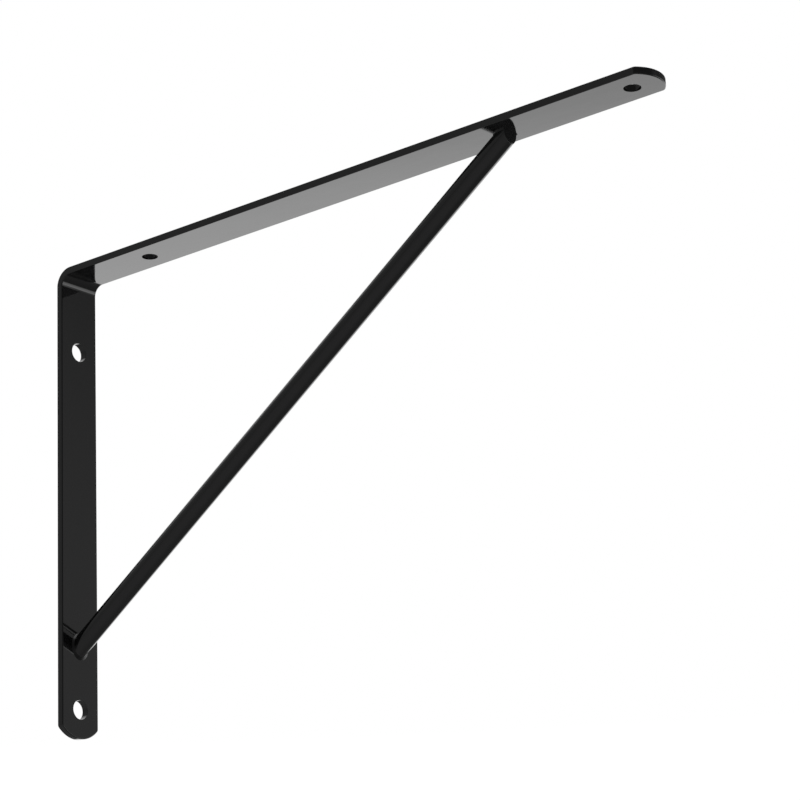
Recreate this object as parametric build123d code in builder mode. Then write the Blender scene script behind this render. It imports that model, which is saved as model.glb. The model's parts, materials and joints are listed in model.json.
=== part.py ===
"""Welded steel shelf bracket: a bent flat bar with a slanting round strut.

Millimetres. The origin is on the wall face, midway between the two wall screw holes.
+X points out from the wall, +Z points up and Y runs across the bar's width.
"""

import math
import os

from build123d import *

# Flat bar
wall_arm = 200.0  # from the shelf face down to the foot
shelf_arm = 300.0  # from the wall face out to the tip
bar_width = 20.0
bar_thickness = 3.0
bend_inside = 4.5  # inside radius of the bend
end_crown = 4.4  # how far the middle of each rounded end stands out beyond its corners
corner_ease = 1.5  # radius where a rounded end meets the bar's sides
edge_ease = 0.4  # rounding of the bar's rolled edges

# Screw holes
wall_hole = 8.0  # diameter
shelf_hole = 6.6  # diameter
wall_hole_drop = 35.0  # from the shelf face down to the upper wall hole
shelf_hole_reach = 45.0  # from the wall face out to the inner shelf hole
end_hole_inset = 12.0  # from each arm's end to its outer hole
rim_ease = 0.1  # rounding of the punched rims

# Strut and its welds
strut_diameter = 8.0
strut_foot_rise = 38.0  # from the foot of the wall arm up to the strut's centre
strut_head_inset = 67.0  # from the tip of the shelf arm in to the strut's centre
nose_height = 5.2  # blunt nose left where the strut's thin upper point is cropped
weld_leg = 0.8  # how far each weld reaches along the bar and along the strut

# Levels and hole patterns that follow from the sizes above
wall_hole_pitch = wall_arm - wall_hole_drop - end_hole_inset
shelf_hole_pitch = shelf_arm - shelf_hole_reach - end_hole_inset
shelf_hole_middle = shelf_hole_reach + shelf_hole_pitch / 2
shelf_z = wall_hole_drop + wall_hole_pitch / 2
foot_z = shelf_z - wall_arm
under_z = shelf_z - bar_thickness

# Where each arm's straight part stops and its rounded end begins
crown_x = shelf_arm - end_crown
crown_z = foot_z + end_crown
tip_plane = Plane(origin=(crown_x, 0, under_z), x_dir=(1, 0, 0), z_dir=(0, 0, 1))
foot_plane = Plane(origin=(0, 0, crown_z), x_dir=(0, 0, -1), z_dir=(1, 0, 0))

# The strut's centre line, from the wall arm's inner face to the shelf arm's underside
strut_radius = strut_diameter / 2
strut_foot = Vector(bar_thickness, 0, foot_z + strut_foot_rise)
strut_head = Vector(shelf_arm - strut_head_inset, 0, under_z)
strut_run = strut_head - strut_foot
strut_slope = math.atan2(strut_run.Z, strut_run.X)
strut_overrun = strut_diameter / math.sin(strut_slope)
strut_plane = Plane(origin=strut_foot, z_dir=strut_run)
point_x = strut_head.X + strut_radius / math.sin(strut_slope)
nose_x = point_x - nose_height / math.tan(strut_slope)

inner_wall_plane = Plane(origin=strut_foot, z_dir=(1, 0, 0))
underside_plane = Plane(origin=strut_head, z_dir=(0, 0, -1))
nose_plane = Plane(origin=(nose_x, 0, under_z), z_dir=(-1, 0, 0))

os.makedirs("parts", exist_ok=True)

# Bent bar: side view across the width, rounded ends, eased edges, punched holes
with BuildPart() as angle_bar:
    with BuildSketch(Plane.XZ):
        with BuildLine():
            outer_side = FilletPolyline(
                (0, crown_z), (0, shelf_z), (crown_x, shelf_z), radius=bend_inside + bar_thickness
            )
            inner_side = FilletPolyline(
                (bar_thickness, crown_z), (bar_thickness, under_z), (crown_x, under_z), radius=bend_inside
            )
            Line(outer_side @ 0, inner_side @ 0)
            Line(outer_side @ 1, inner_side @ 1)
        make_face()
    extrude(amount=bar_width / 2, both=True)

    with BuildSketch(tip_plane, foot_plane):
        with BuildLine():
            end_chord = Line((0, bar_width / 2), (0, -bar_width / 2))
            SagittaArc(end_chord @ 0, end_chord @ 1, end_crown)
        make_face()
    extrude(amount=bar_thickness)
    foot_corners = angle_bar.edges().filter_by(Axis.X).group_by(Axis.Z)[0]
    tip_corners = angle_bar.edges().filter_by(Axis.Z).group_by(Axis.X)[-1]
    fillet(foot_corners + tip_corners, radius=corner_ease)

    through_edges = (
        angle_bar.edges().filter_by(Axis.X).group_by(SortBy.LENGTH)[0]
        + angle_bar.edges().filter_by(Axis.Z).group_by(SortBy.LENGTH)[0]
    )
    bend_lines = angle_bar.edges().filter_by(Axis.Y)
    fillet(angle_bar.edges() - through_edges - bend_lines, radius=edge_ease)

    with Locations(Plane.YZ.offset(bar_thickness)):
        with GridLocations(bar_width, wall_hole_pitch, 1, 2):
            Hole(radius=wall_hole / 2, depth=bar_thickness)
    wall_rims = angle_bar.edges(Select.LAST).filter_by(GeomType.CIRCLE)
    fillet(wall_rims, radius=rim_ease)

    with Locations(Plane((shelf_hole_middle, 0, shelf_z))):
        with GridLocations(shelf_hole_pitch, bar_width, 2, 1):
            Hole(radius=shelf_hole / 2, depth=bar_thickness)
    shelf_rims = angle_bar.edges(Select.LAST).filter_by(GeomType.CIRCLE)
    fillet(shelf_rims, radius=rim_ease)

angle_bar.part.label = "angle_bar"
export_step(angle_bar.part, "parts/angle_bar.step")

# Strut: round bar mitred to both arms, its thin upper point cropped to a blunt nose
with BuildPart() as strut:
    with BuildSketch(strut_plane.offset(-strut_overrun)):
        Circle(strut_radius)
    extrude(amount=strut_run.length + 2 * strut_overrun)
    split(bisect_by=inner_wall_plane, keep=Keep.TOP)
    split(bisect_by=underside_plane, keep=Keep.TOP)
    split(bisect_by=nose_plane, keep=Keep.TOP)

strut.part.label = "strut"
export_step(strut.part, "parts/strut.step")


def weld_bead(seat):
    """Weld round the strut's end at the seat plane, in the corner with the bar, clear of the nose."""
    with BuildPart() as bead:
        with BuildSketch(seat):
            Rectangle(2 * strut_overrun, 2 * strut_overrun)
        extrude(amount=-bar_thickness)
        add(strut.part)
        seat_face = bead.faces().filter_by(lambda face: len(face.inner_wires()) > 0)[0]
        chamfer(seat_face.inner_wires()[0].edges(), length=weld_leg)
        split(bisect_by=seat, keep=Keep.TOP)
        split(bisect_by=nose_plane, keep=Keep.TOP)
        add(strut.part, mode=Mode.SUBTRACT)
    return bead


# Welds: one under the shelf arm, one on the wall arm
upper_weld = weld_bead(underside_plane)
upper_weld.part.label = "upper_weld"
export_step(upper_weld.part, "parts/upper_weld.step")

lower_weld = weld_bead(inner_wall_plane)
lower_weld.part.label = "lower_weld"
export_step(lower_weld.part, "parts/lower_weld.step")
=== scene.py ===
"""A welded steel shelf bracket in gloss black enamel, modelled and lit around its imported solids."""

import json
import math

import bmesh
import bpy
from bpy.props import FloatProperty, FloatVectorProperty, IntProperty, PointerProperty
from mathutils import Matrix, Vector


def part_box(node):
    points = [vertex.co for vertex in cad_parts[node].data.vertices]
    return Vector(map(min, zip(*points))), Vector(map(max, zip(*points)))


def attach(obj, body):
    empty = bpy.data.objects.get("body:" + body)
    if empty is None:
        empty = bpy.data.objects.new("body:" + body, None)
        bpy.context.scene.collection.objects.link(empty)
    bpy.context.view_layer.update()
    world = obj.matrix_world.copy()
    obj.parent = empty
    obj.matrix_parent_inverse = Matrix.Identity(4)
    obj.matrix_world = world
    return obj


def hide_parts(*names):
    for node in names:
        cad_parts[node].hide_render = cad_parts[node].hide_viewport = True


bl_info = {
    "name": "Shelf Bracket",
    "version": (1, 0, 0),
    "blender": (4, 5, 0),
    "location": "3D View > Sidebar > Bracket",
    "description": "Models a welded shelf bracket in gloss black enamel and the studio around it",
    "category": "Add Mesh",
}

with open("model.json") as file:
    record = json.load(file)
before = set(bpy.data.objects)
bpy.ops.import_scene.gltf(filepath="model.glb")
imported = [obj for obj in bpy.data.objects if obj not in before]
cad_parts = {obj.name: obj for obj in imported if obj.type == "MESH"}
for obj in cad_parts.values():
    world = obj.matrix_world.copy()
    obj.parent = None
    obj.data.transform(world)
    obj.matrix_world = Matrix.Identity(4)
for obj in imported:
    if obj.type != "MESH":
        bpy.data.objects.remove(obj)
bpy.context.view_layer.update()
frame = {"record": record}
mounts = {mount["name"]: mount for mount in frame["record"]["mounts"]}

BODY = "root"
MM = 0.001

# Modelling: how near counts as touching, which edges are sharp, and facets round each easing
CLOSE = 0.01 * MM
CUT_CLOSE = 0.001 * MM
QUARTER_TURN = math.radians(90)
EIGHTH_TURN = math.radians(45)
SHARP_ANGLE = math.radians(80)
SMOOTH_ANGLE = math.radians(35)
CORNER_FACETS = 8
EDGE_FACETS = 5
RIM_FACETS = 4
NOSE_FACETS = 3
WELD_CUTS = 5
RIPPLE_STEP = 3
RIPPLE_SPAN = (0.1, 0.9)

# Enamel: noise settings, the waves' height against the dimples', and the clear coat
DIMPLE_DETAIL = 1.0
DIMPLE_ROUGHNESS = 0.4
WAVE_DETAIL = 2.0
WAVE_HEIGHT = 6
CLOUD_SCALE = 45.0
CLOUD_DETAIL = 4.0
COAT_ROUGHNESS = 0.05
ENAMEL_IOR = 1.5
BAR_GRAIN = (40, 90, 40)
STRUT_GRAIN = (25, 120, 25)
WELD_GRAIN = (120, 120, 120)
WELD_GLOSS = 0.2

# Studio: where each lit patch faces, and between which dot products its soft edge runs; the floor's patches are
# painted shade and painted light that only reflections see
BACK = (0, 1, 0)
BACK_LEFT = (-0.33, 0.944, 0)
DOWN = (0, 0, -1)
# Painted shade and painted light on the floor, seen only in reflections: where each patch's soft edge runs
# along the floor, in metres
PAINTED_SHADE_EDGE = (-0.2, 0.25)
PAINTED_LIGHT_LEFT_EDGE = (0.68, 0.85)
PAINTED_LIGHT_LEFT_RISE = (0.92, 1.04)
PAINTED_LIGHT_FAR_EDGE = (0.88, 1.12)
BACKDROP_EDGE = (0.75, 0.93)
BACKDROP_TOP = (-0.3, -0.16)
HORIZON_EDGE = (0.4, 0.6)
HORIZON_TOP = (-0.14, -0.04)
SIDE_FACING = (0.82, 0.57, 0)
SIDE_EDGE = (0.88, 0.97)
FILL_FACING = (-0.65, -0.72, 0.25)
FILL_EDGE = (0.75, 0.95)
RIM_FACING = (-0.79, 0.2, 0.58)
RIM_EDGE = (0.85, 0.97)
FLOOR_GLOW = 0.8
FLOOR_GREY = (0.8, 0.8, 0.8, 1)
WHITE = (1, 1, 1, 1)
SOFTBOX_SIZE = 1.6
SOFTBOX_PLACE = (0.2, -0.2, 1.6)

bar_low, bar_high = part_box("angle_bar")
strut_low, strut_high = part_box("strut")
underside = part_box("upper_weld")[1].z
bar_thickness = bar_high.z - underside
bar_width = bar_high.y - bar_low.y


class BracketSizes(bpy.types.PropertyGroup):
    """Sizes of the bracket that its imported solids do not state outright"""

    bend_inside: FloatProperty(
        name="Inside Bend", description="Inside radius of the bend", default=4.5 * MM, unit="LENGTH"
    )
    bend_steps: IntProperty(name="Bend Steps", description="Facets round the bend", default=28, min=4)
    end_crown: FloatProperty(
        name="End Crown", description="How far an end's middle stands out", default=4.4 * MM, unit="LENGTH"
    )
    end_steps: IntProperty(
        name="End Steps", description="Facets round each end, an odd number", default=21, min=5
    )
    corner_ease: FloatProperty(
        name="Corner Ease", description="Radius where an end meets the sides", default=1.5 * MM, unit="LENGTH"
    )
    edge_ease: FloatProperty(
        name="Edge Ease", description="Rounding of the bar's rolled edges", default=0.4 * MM, unit="LENGTH"
    )
    rim_ease: FloatProperty(
        name="Rim Ease", description="Rounding of the punched rims", default=0.1 * MM, unit="LENGTH"
    )
    foot_rise: FloatProperty(
        name="Foot Rise", description="From the foot up to the strut's centre", default=38 * MM, unit="LENGTH"
    )
    head_inset: FloatProperty(
        name="Head Inset", description="From the tip in to the strut's centre", default=67 * MM, unit="LENGTH"
    )
    round_steps: IntProperty(name="Round Steps", description="Facets round holes and strut", default=96, min=12)
    weld_leg: FloatProperty(
        name="Weld Leg", description="How far a weld reaches along the bar", default=0.8 * MM, unit="LENGTH"
    )
    weld_height: FloatProperty(
        name="Weld Height", description="How far a weld climbs the strut", default=0.7 * MM, unit="LENGTH"
    )
    weld_hollow: FloatProperty(
        name="Weld Hollow", description="How hollow a weld's face is, as a share of its ring", default=0.015
    )
    weld_ripple: FloatProperty(
        name="Weld Ripple", description="Height of the ripples on a weld", default=0.03 * MM, unit="LENGTH"
    )


class BracketEnamel(bpy.types.PropertyGroup):
    """Colour and surface of the black enamel"""

    deep: FloatVectorProperty(
        name="Deep", description="Enamel where it lies thick", subtype="COLOR", default=(0.0035, 0.0035, 0.0038)
    )
    thin: FloatVectorProperty(
        name="Thin", description="Enamel where it lies thin", subtype="COLOR", default=(0.007, 0.007, 0.0075)
    )
    roughness: FloatProperty(
        name="Roughness", description="Roughness of the smoothest enamel", subtype="FACTOR", default=0.07
    )
    haze: FloatProperty(
        name="Haze", description="Roughness added where the enamel is duller", subtype="FACTOR", default=0.08
    )
    peel: FloatProperty(
        name="Peel", description="Width of one dimple of the orange peel", default=2.2 * MM, unit="LENGTH"
    )
    peel_depth: FloatProperty(
        name="Peel Depth", description="Depth of the orange peel", default=0.006 * MM, unit="LENGTH"
    )


class BracketStudio(bpy.types.PropertyGroup):
    """Camera, floor and light"""

    azimuth: FloatProperty(
        name="Azimuth",
        description="Camera's turn round the bracket",
        subtype="ANGLE",
        default=math.radians(38.197),
    )
    elevation: FloatProperty(
        name="Elevation",
        description="Camera's angle above the level",
        subtype="ANGLE",
        default=math.radians(-17.657),
    )
    roll: FloatProperty(
        name="Roll",
        description="Camera's turn about its own axis",
        subtype="ANGLE",
        default=math.radians(-2.436),
    )
    lens: FloatProperty(name="Lens", description="Focal length in millimetres", default=120.071)
    place: FloatVectorProperty(
        name="Place",
        description="Where the camera stands",
        subtype="TRANSLATION",
        default=(0.769, -0.75561, -0.29036),
    )
    floor_level: FloatProperty(
        name="Floor Level", description="Height of the studio floor", default=-0.36, unit="LENGTH"
    )
    floor_span: FloatProperty(name="Floor Span", description="Width of the floor", default=24.0, unit="LENGTH")
    white: FloatProperty(name="White", description="Level of the lit backdrop behind the bracket", default=1.0)
    dim_room: FloatProperty(
        name="Dim Room", description="Level of the room away from the backdrop", default=0.07
    )
    side_panel: FloatProperty(
        name="Side Panel", description="Level added by the panel on the right", default=0.175
    )
    fill_panel: FloatProperty(
        name="Fill Panel", description="Level added by the panel on the left", default=0.092
    )
    rim_panel: FloatProperty(
        name="Rim Panel", description="Level added by the panel at the upper left", default=0.6
    )
    # Painted shade on the floor in front, seen only in reflections
    painted_shade_front: FloatProperty(
        name="Dim Floor", description="Level of the floor in front, as reflections see it", default=0.16
    )
    # Painted light on the floor at the far left, seen only in reflections
    painted_light_left: FloatProperty(
        name="Left Floor", description="Level added to the floor at the far left, in reflections", default=0.24
    )
    # Painted shade on the floor just behind the bracket, seen only in reflections
    painted_shade_behind: FloatProperty(
        name="Dark Floor", description="Level of the floor just behind, as reflections see it", default=0.05
    )
    lamp_power: FloatProperty(name="Lamp Power", description="Power of the softbox overhead", default=14.0)


class Wire:
    """A socket in a shader tree. Arithmetic on wires adds Math nodes, and add makes any other node."""

    def __init__(self, tree, socket=None):
        self.tree = tree
        self.socket = socket

    def add(self, kind, settings=None, sockets=None, output=0):
        """Make a node, apply its settings, then set or link its sockets, and return one of its outputs."""
        node = self.tree.nodes.new(kind)
        for name, value in (settings or {}).items():
            setattr(node, name, value)
        for key, value in (sockets or {}).items():
            socket = self.find(node.inputs, key)
            if isinstance(value, Wire):
                self.tree.links.new(value.socket, socket)
            else:
                socket.default_value = value
        return Wire(self.tree, self.find(node.outputs, output) if len(node.outputs) else None)

    @staticmethod
    def find(sockets, key):
        """The socket with that number, identifier or name."""
        if isinstance(key, int):
            return sockets[key]
        named = [socket for socket in sockets if key in (socket.identifier, socket.name)]
        return named[0]

    def math(self, operation, first, second):
        return self.add("ShaderNodeMath", {"operation": operation}, {0: first, 1: second})

    def __add__(self, other):
        return self.math("ADD", self, other)

    __radd__ = __add__

    def __sub__(self, other):
        return self.math("SUBTRACT", self, other)

    def __rsub__(self, other):
        return self.math("SUBTRACT", other, self)

    def __mul__(self, other):
        return self.math("MULTIPLY", self, other)

    __rmul__ = __mul__


def blank_material(name):
    """A new material with an empty tree, and a wire to start from."""
    material = bpy.data.materials.new(name)
    material.use_nodes = True
    material.node_tree.nodes.clear()
    return material, Wire(material.node_tree)


def enamel(name, look, grain, gloss=1.0):
    """Black enamel over steel. The grain stretches the slow waves that the metal gives the coat."""
    material, start = blank_material(name)
    place = start.add("ShaderNodeTexCoord", output="Object")
    dimples = start.add(
        "ShaderNodeTexNoise",
        {},
        {"Vector": place, "Scale": 1 / look.peel, "Detail": DIMPLE_DETAIL, "Roughness": DIMPLE_ROUGHNESS},
    )
    stretched = start.add("ShaderNodeMapping", {}, {"Vector": place, "Scale": grain})
    waves = start.add("ShaderNodeTexNoise", {}, {"Vector": stretched, "Scale": 1.0, "Detail": WAVE_DETAIL})
    clouds = start.add(
        "ShaderNodeTexNoise", {}, {"Vector": place, "Scale": CLOUD_SCALE, "Detail": CLOUD_DETAIL}
    )
    colour = start.add(
        "ShaderNodeMix",
        {"data_type": "RGBA"},
        {"Factor_Float": clouds, "A_Color": (*look.deep, 1), "B_Color": (*look.thin, 1)},
        "Result_Color",
    )
    roughness = look.roughness / gloss + look.haze * clouds
    height = dimples * look.peel_depth + waves * (look.peel_depth * WAVE_HEIGHT)
    bump = start.add("ShaderNodeBump", {}, {"Height": height, "Strength": 1.0, "Distance": 1.0})
    shader = start.add(
        "ShaderNodeBsdfPrincipled",
        {},
        {
            "Base Color": colour,
            "Roughness": roughness,
            "IOR": ENAMEL_IOR,
            "Coat Weight": gloss,
            "Coat Roughness": COAT_ROUGHNESS,
            "Coat IOR": ENAMEL_IOR,
            "Normal": bump,
        },
    )
    start.add("ShaderNodeOutputMaterial", {}, {"Surface": shader})
    return material


def clear_selection():
    bpy.ops.object.select_all(action="DESELECT")


def pick(kind, test):
    """In edit mode, select only the vertices, edges or faces that pass the test."""
    bpy.ops.mesh.select_mode(type=kind)
    bpy.ops.mesh.select_all(action="DESELECT")
    mesh = bmesh.from_edit_mesh(bpy.context.edit_object.data)
    items = {"VERT": mesh.verts, "EDGE": mesh.edges, "FACE": mesh.faces}[kind]
    chosen = [item for item in items if test(item)]
    if not chosen:
        raise RuntimeError("nothing to select on " + bpy.context.edit_object.name)
    for item in chosen:
        item.select_set(True)
    mesh.select_flush_mode()
    bmesh.update_edit_mesh(bpy.context.edit_object.data)


def ease(offset, facets):
    """In edit mode, round the selected edges."""
    bpy.ops.mesh.bevel(offset=offset, segments=facets, affect="EDGES", clamp_overlap=False)


def middle(edge):
    """Middle point of an edge."""
    return (edge.verts[0].co + edge.verts[1].co) / 2


def apply_modifier(piece, kind, **settings):
    """Add a modifier to the active piece, set it and apply it."""
    modifier = piece.modifiers.new(kind.title(), kind)
    for name, value in settings.items():
        setattr(modifier, name, value)
    bpy.ops.object.modifier_apply(modifier=modifier.name)


def finish_piece(piece, material, node):
    """Smooth a piece, give it its finish and seat it in the place of its solid."""
    clear_selection()
    piece.select_set(True)
    bpy.context.view_layer.objects.active = piece
    bpy.ops.object.transform_apply(location=True, rotation=True, scale=True)
    bpy.ops.object.shade_smooth_by_angle(angle=SMOOTH_ANGLE)
    apply_modifier(piece, "WEIGHTED_NORMAL", mode="FACE_AREA", weight=100, keep_sharp=True)
    piece.data.materials.clear()
    piece.data.materials.append(material)
    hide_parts(node)
    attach(piece, BODY)


def punch(bar, centre, turn, radius, depth):
    """Cut a round hole through the bar."""
    clear_selection()
    bpy.ops.mesh.primitive_cylinder_add(
        vertices=bpy.context.scene.bracket_sizes.round_steps,
        radius=radius,
        depth=depth,
        location=centre,
        rotation=turn,
    )
    cutter = bpy.context.object
    clear_selection()
    bar.select_set(True)
    bpy.context.view_layer.objects.active = bar
    apply_modifier(bar, "BOOLEAN", operation="DIFFERENCE", solver="EXACT", object=cutter)
    bpy.data.objects.remove(cutter)


def hole_spots():
    """Each screw hole as its centre, its axis number and its radius."""
    spots = []
    for name, axis, along, spacing in (
        ("wall_screws", 0, Vector((0, 0, 1)), "spacing_y_mm"),
        ("shelf_screws", 2, Vector((1, 0, 0)), "spacing_x_mm"),
    ):
        mount = mounts[name]
        half = mount["dims"][spacing] * MM / 2
        for side in (-1, 1):
            spots.append((Vector(mount["pos_m"]) + along * half * side, axis, mount["dims"]["hole_r_mm"] * MM))
    return spots


class BRACKET_OT_bent_bar(bpy.types.Operator):
    """Bend a flat bar to a right angle, round its ends, ease its edges and punch its screw holes"""

    bl_idname = "bracket.bent_bar"
    bl_label = "Bent Bar"

    def execute(self, context):
        sizes = context.scene.bracket_sizes
        outside = sizes.bend_inside + bar_thickness
        spare = sizes.end_crown
        upright = bar_high.z - outside - bar_low.z + spare
        clear_selection()
        bpy.ops.mesh.primitive_cube_add(
            size=1, location=(bar_thickness / 2, 0, bar_high.z - outside - upright / 2)
        )
        bar = context.object
        bar.name = "bent_bar"
        bpy.ops.transform.resize(value=(bar_thickness, bar_width, upright))
        bpy.ops.object.transform_apply(location=True, rotation=True, scale=True)

        bpy.ops.object.mode_set(mode="EDIT")
        pick("FACE", lambda face: face.normal.z > 0.9)
        bpy.ops.mesh.spin(
            steps=sizes.bend_steps,
            angle=-QUARTER_TURN,
            center=(outside, 0, bar_high.z - outside),
            axis=(0, 1, 0),
        )
        bpy.ops.mesh.extrude_region_move(TRANSFORM_OT_translate={"value": (bar_high.x - outside + spare, 0, 0)})

        self.round_end(sizes, Vector((bar_high.x, 0, 0)), Vector((1, 0, 0)))
        self.round_end(sizes, Vector((0, 0, bar_low.z)), Vector((0, 0, -1)))
        pick("EDGE", lambda edge: abs(edge.calc_face_angle(0) - EIGHTH_TURN) < EIGHTH_TURN / 2)
        ease(sizes.corner_ease * math.tan(EIGHTH_TURN / 2), CORNER_FACETS)
        pick("EDGE", lambda edge: edge.calc_face_angle(0) > SHARP_ANGLE)
        ease(sizes.edge_ease, EDGE_FACETS)
        bpy.ops.object.mode_set(mode="OBJECT")

        for centre, axis, radius in hole_spots():
            punch(bar, centre, (0, QUARTER_TURN if axis == 0 else 0, 0), radius, 3 * bar_thickness)
        bpy.ops.object.mode_set(mode="EDIT")
        for centre, axis, radius in hole_spots():
            pick("EDGE", lambda edge: self.is_rim(edge, centre, axis, radius))
            ease(sizes.rim_ease, RIM_FACETS)
        bpy.ops.object.mode_set(mode="OBJECT")
        finish_piece(bar, enamel("flat_bar_enamel", context.scene.bracket_enamel, BAR_GRAIN), "angle_bar")
        return {"FINISHED"}

    @staticmethod
    def round_end(sizes, end, outward):
        """Crop one end of the bar to a shallow arc, a facet at a time."""
        across = Vector((0, 1, 0))
        radius = (bar_width**2 / 4 + sizes.end_crown**2) / (2 * sizes.end_crown)
        sweep = 2 * math.asin(bar_width / 2 / radius)
        for step in range(sizes.end_steps):
            turn = sweep * ((step + 0.5) / sizes.end_steps - 0.5)
            facing = outward * math.cos(turn) + across * math.sin(turn)
            crop(end + (facing - outward) * radius, facing, True)

    @staticmethod
    def is_rim(edge, centre, axis, radius):
        """True for an edge of the circle where a hole meets a broad face of the bar."""
        ends = [vert.co - centre for vert in edge.verts]
        level = abs(ends[0][axis] - ends[1][axis]) < CLOSE
        short = edge.calc_length() < radius / 4
        for end in ends:
            end[axis] = 0
        return level and short and all(abs(end.length - radius) < CLOSE for end in ends)


def strut_line(sizes):
    """The strut's centre line: its foot, its head and its direction."""
    foot = Vector((bar_thickness, 0, bar_low.z + sizes.foot_rise))
    head = Vector((bar_high.x - sizes.head_inset, 0, underside))
    return foot, head, (head - foot).normalized()


def round_bar(name, start, run, radius, steps, ends):
    """A round bar from a start point along a run, with its place in its mesh."""
    clear_selection()
    tilt = Vector((0, 0, 1)).rotation_difference(run).to_euler()
    bpy.ops.mesh.primitive_cylinder_add(
        vertices=steps,
        radius=radius,
        depth=run.length,
        end_fill_type=ends,
        location=start + run / 2,
        rotation=tilt,
    )
    bar = bpy.context.object
    bar.name = name
    bpy.ops.object.transform_apply(location=True, rotation=True, scale=True)
    return bar


def crop(point, outward, fill):
    """In edit mode, cut off what lies beyond a plane."""
    bpy.ops.mesh.select_all(action="SELECT")
    bpy.ops.mesh.bisect(plane_co=point, plane_no=outward, use_fill=fill, clear_outer=True, threshold=CUT_CLOSE)


class BRACKET_OT_strut(bpy.types.Operator):
    """Mitre a round bar to both arms and crop its thin upper point to a blunt nose"""

    bl_idname = "bracket.strut"
    bl_label = "Strut"

    def execute(self, context):
        sizes = context.scene.bracket_sizes
        foot, head, along = strut_line(sizes)
        radius = (strut_high.y - strut_low.y) / 2
        overrun = along * (4 * radius)
        strut = round_bar(
            "round_strut", foot - overrun, head - foot + 2 * overrun, radius, sizes.round_steps, "NGON"
        )
        bpy.ops.object.mode_set(mode="EDIT")
        crop(foot, (-1, 0, 0), True)
        crop(head, (0, 0, 1), True)
        crop((strut_high.x, 0, underside), (1, 0, 0), True)
        pick("EDGE", lambda edge: self.is_nose_edge(edge))
        ease(sizes.rim_ease, NOSE_FACETS)
        bpy.ops.object.mode_set(mode="OBJECT")
        finish_piece(strut, enamel("round_bar_enamel", context.scene.bracket_enamel, STRUT_GRAIN), "strut")
        return {"FINISHED"}

    @staticmethod
    def is_nose_edge(edge):
        """True for the lower edge of the blunt nose."""
        on_nose = all(abs(vert.co.x - strut_high.x) < CLOSE for vert in edge.verts)
        return on_nose and middle(edge).z < underside - 10 * CLOSE


class BRACKET_OT_welds(bpy.types.Operator):
    """Lay a rippled weld round each end of the strut, in the corner between the strut and the bar"""

    bl_idname = "bracket.welds"
    bl_label = "Welds"

    def execute(self, context):
        sizes = context.scene.bracket_sizes
        foot, head, along = strut_line(sizes)
        finish = enamel("weld_enamel", context.scene.bracket_enamel, WELD_GRAIN, WELD_GLOSS)
        self.bead(sizes, "lower_bead", foot, Vector((1, 0, 0)), along, finish, "lower_weld")
        self.bead(sizes, "upper_bead", head, Vector((0, 0, -1)), -along, finish, "upper_weld")
        return {"FINISHED"}

    def bead(self, sizes, name, seat, outward, away, finish, node):
        """A closed ring: one wall on the strut, one on the bar and a slightly hollow, rippled face between."""
        radius = (strut_high.y - strut_low.y) / 2
        reach = away * (6 * radius)

        def on_seat(vert):
            return abs((vert.co - seat).dot(outward)) < CLOSE

        bead = round_bar(name, seat - reach, 2 * reach, radius, sizes.round_steps, "NOTHING")
        bpy.ops.object.mode_set(mode="EDIT")
        crop(seat, -outward, False)
        crop(seat + outward * sizes.weld_height, outward, False)
        pick("EDGE", lambda edge: all(on_seat(vert) for vert in edge.verts))
        bpy.ops.mesh.extrude_region_move()
        lengthways = 1 + sizes.weld_leg * abs(away.dot(outward)) / radius
        sideways = 1 + sizes.weld_leg / radius
        at_nose = abs(outward.z) > 0.5
        growth = (lengthways, sideways, 1) if at_nose else (1, sideways, lengthways)
        bpy.ops.transform.resize(value=growth, center_override=seat)
        pick("EDGE", lambda edge: edge.is_boundary)
        bpy.ops.mesh.bridge_edge_loops(
            number_cuts=WELD_CUTS,
            interpolation="LINEAR",
            profile_shape_factor=-sizes.weld_hollow,
            profile_shape="SPHERE",
        )
        bpy.ops.mesh.select_all(action="SELECT")
        bpy.ops.mesh.normals_make_consistent(inside=False)
        self.ripple(sizes, seat, outward)
        if at_nose:
            crop((strut_high.x, 0, underside), (1, 0, 0), True)
        bpy.ops.object.mode_set(mode="OBJECT")
        finish_piece(bead, finish, node)

    @staticmethod
    def ripple(sizes, seat, outward):
        """Raise every third column of the sloping face, clear of both walls."""
        columns = sizes.round_steps
        side = outward.cross(Vector((0, 1, 0)))

        def raised(vert):
            place = vert.co - seat
            height = place.dot(outward)
            turn = math.atan2(place.y, place.dot(side)) / math.tau
            clear = RIPPLE_SPAN[0] < height / sizes.weld_height < RIPPLE_SPAN[1]
            return clear and round(turn * columns) % RIPPLE_STEP == 0

        pick("VERT", raised)
        bpy.ops.transform.shrink_fatten(value=sizes.weld_ripple)


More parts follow.
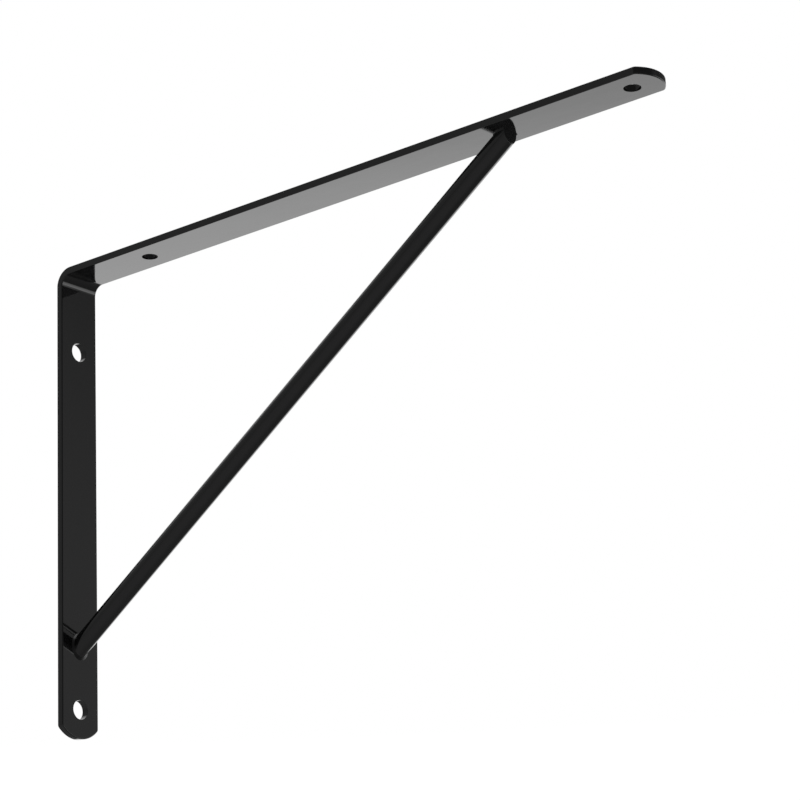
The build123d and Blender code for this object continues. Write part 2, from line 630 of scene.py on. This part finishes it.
class BRACKET_OT_studio(bpy.types.Operator):
    """Set the camera, the pale floor, the room's soft light and the softbox overhead"""

    bl_idname = "bracket.studio"
    bl_label = "Studio"

    def execute(self, context):
        studio = context.scene.bracket_studio
        self.set_camera(context.scene, studio)
        behind = (-math.sin(studio.azimuth), math.cos(studio.azimuth), 0)
        self.lay_floor(studio)
        self.light_room(context.scene, studio, behind)
        context.scene.view_settings.view_transform = "Standard"
        return {"FINISHED"}

    @staticmethod
    def set_camera(scene, studio):
        """Stand the camera at its place, turned by its three angles."""
        level = math.cos(studio.elevation)
        back = Vector(
            (math.sin(studio.azimuth) * level, -math.cos(studio.azimuth) * level, math.sin(studio.elevation))
        )
        right = Vector((math.cos(studio.azimuth), math.sin(studio.azimuth), 0))
        turned = Matrix((right, back.cross(right), back)).transposed() @ Matrix.Rotation(studio.roll, 3, "Z")
        data = bpy.data.cameras.new("camera")
        data.lens = studio.lens
        camera = bpy.data.objects.new("camera", data)
        camera.matrix_world = Matrix.Translation(studio.place) @ turned.to_4x4()
        scene.collection.objects.link(camera)
        scene.camera = camera

    @staticmethod
    def lit(start, direction, centre, edge, dim, bright):
        """How bright a direction or a place is, for a lit patch with a soft edge that faces the centre."""
        facing = start.add(
            "ShaderNodeVectorMath", {"operation": "DOT_PRODUCT"}, {0: direction, 1: centre}, "Value"
        )
        return start.add(
            "ShaderNodeMapRange",
            {"interpolation_type": "SMOOTHSTEP"},
            {"Value": facing, "From Min": edge[0], "From Max": edge[1], "To Min": dim, "To Max": bright},
        )

    def lay_floor(self, studio):
        """A wide pale floor with the bracket's shadow, which runs up to the lit backdrop. Reflections see
        painted shade on it in front and just behind, and painted light further back and at the far left.
        """
        clear_selection()
        bpy.ops.mesh.primitive_plane_add(size=studio.floor_span, location=(0, 0, studio.floor_level))
        floor = bpy.context.object
        floor.name = "floor"
        material, start = blank_material("pale_floor")
        seen = start.add("ShaderNodeLightPath", output="Is Camera Ray")
        mirrored = start.add("ShaderNodeLightPath", output="Is Glossy Ray")
        passed = start.add("ShaderNodeLightPath", output="Is Transmission Ray")
        shown = start.math("MAXIMUM", seen, start.math("MAXIMUM", mirrored, passed)) * FLOOR_GLOW
        place = start.add("ShaderNodeTexCoord", output="Object")
        # Painted shade and painted light on the floor by place, which only reflections see
        near = self.lit(start, place, BACK, PAINTED_SHADE_EDGE, studio.painted_shade_front, studio.painted_shade_behind)
        left = self.lit(start, place, BACK_LEFT, PAINTED_LIGHT_LEFT_EDGE, 0, studio.white)
        left = left + self.lit(start, place, BACK_LEFT, PAINTED_LIGHT_LEFT_RISE, 0, studio.painted_light_left)
        far = self.lit(start, place, BACK, PAINTED_LIGHT_FAR_EDGE, 0, studio.white)
        painted_light_and_shade = start.math("MAXIMUM", near, start.math("MAXIMUM", left, far))
        level = seen + (1 - seen) * painted_light_and_shade
        pale = start.add("ShaderNodeBsdfDiffuse", {}, {"Color": FLOOR_GREY})
        white = start.add("ShaderNodeEmission", {}, {"Color": WHITE, "Strength": level})
        both = start.add("ShaderNodeMixShader", {}, {0: shown, 1: pale, 2: white})
        start.add("ShaderNodeOutputMaterial", {}, {"Surface": both})
        floor.data.materials.append(material)

    def light_room(self, scene, studio, behind):
        """A room lit behind the bracket, white to the camera all round, and a softbox overhead."""
        world = bpy.data.worlds.new("room")
        world.use_nodes = True
        world.node_tree.nodes.clear()
        start = Wire(world.node_tree)
        direction = start.add("ShaderNodeTexCoord", output="Generated")
        seen = start.add("ShaderNodeLightPath", output="Is Camera Ray")
        backdrop = self.lit(start, direction, behind, BACKDROP_EDGE, 0, studio.white)
        backdrop = backdrop * self.lit(start, direction, DOWN, BACKDROP_TOP, 0, 1)
        horizon = self.lit(start, direction, BACK, HORIZON_EDGE, 0, studio.white)
        horizon = horizon * self.lit(start, direction, DOWN, HORIZON_TOP, 0, 1)
        backdrop = start.math("MAXIMUM", backdrop, horizon) + studio.dim_room
        panel = self.lit(start, direction, SIDE_FACING, SIDE_EDGE, 0, studio.side_panel)
        fill = self.lit(start, direction, FILL_FACING, FILL_EDGE, 0, studio.fill_panel)
        rim = self.lit(start, direction, RIM_FACING, RIM_EDGE, 0, studio.rim_panel)
        level = start.math("MAXIMUM", seen * studio.white, backdrop + panel + fill + rim)
        room = start.add("ShaderNodeBackground", {}, {"Color": WHITE, "Strength": level})
        start.add("ShaderNodeOutputWorld", {}, {"Surface": room})
        scene.world = world

        data = bpy.data.lights.new("softbox", "AREA")
        data.shape = "SQUARE"
        data.size = SOFTBOX_SIZE
        data.energy = studio.lamp_power
        softbox = bpy.data.objects.new("softbox", data)
        softbox.location = SOFTBOX_PLACE
        scene.collection.objects.link(softbox)


class BRACKET_PT_panel(bpy.types.Panel):
    """The bracket's pieces and its studio"""

    bl_label = "Shelf Bracket"
    bl_idname = "BRACKET_PT_panel"
    bl_space_type = "VIEW_3D"
    bl_region_type = "UI"
    bl_category = "Bracket"

    def draw(self, context):
        for operator in (BRACKET_OT_bent_bar, BRACKET_OT_strut, BRACKET_OT_welds, BRACKET_OT_studio):
            self.layout.operator(operator.bl_idname)
        for group in (context.scene.bracket_sizes, context.scene.bracket_enamel, context.scene.bracket_studio):
            box = self.layout.box()
            for name in group.__annotations__:
                box.prop(group, name)


classes = (
    BracketSizes,
    BracketEnamel,
    BracketStudio,
    BRACKET_OT_bent_bar,
    BRACKET_OT_strut,
    BRACKET_OT_welds,
    BRACKET_OT_studio,
    BRACKET_PT_panel,
)


def register():
    for cls in classes:
        bpy.utils.register_class(cls)
    bpy.types.Scene.bracket_sizes = PointerProperty(type=BracketSizes)
    bpy.types.Scene.bracket_enamel = PointerProperty(type=BracketEnamel)
    bpy.types.Scene.bracket_studio = PointerProperty(type=BracketStudio)


def unregister():
    del bpy.types.Scene.bracket_studio
    del bpy.types.Scene.bracket_enamel
    del bpy.types.Scene.bracket_sizes
    for cls in reversed(classes):
        bpy.utils.unregister_class(cls)


def main():
    register()
    bpy.ops.bracket.bent_bar()
    bpy.ops.bracket.strut()
    bpy.ops.bracket.welds()
    bpy.ops.bracket.studio()


if __name__ == "__main__":
    main()
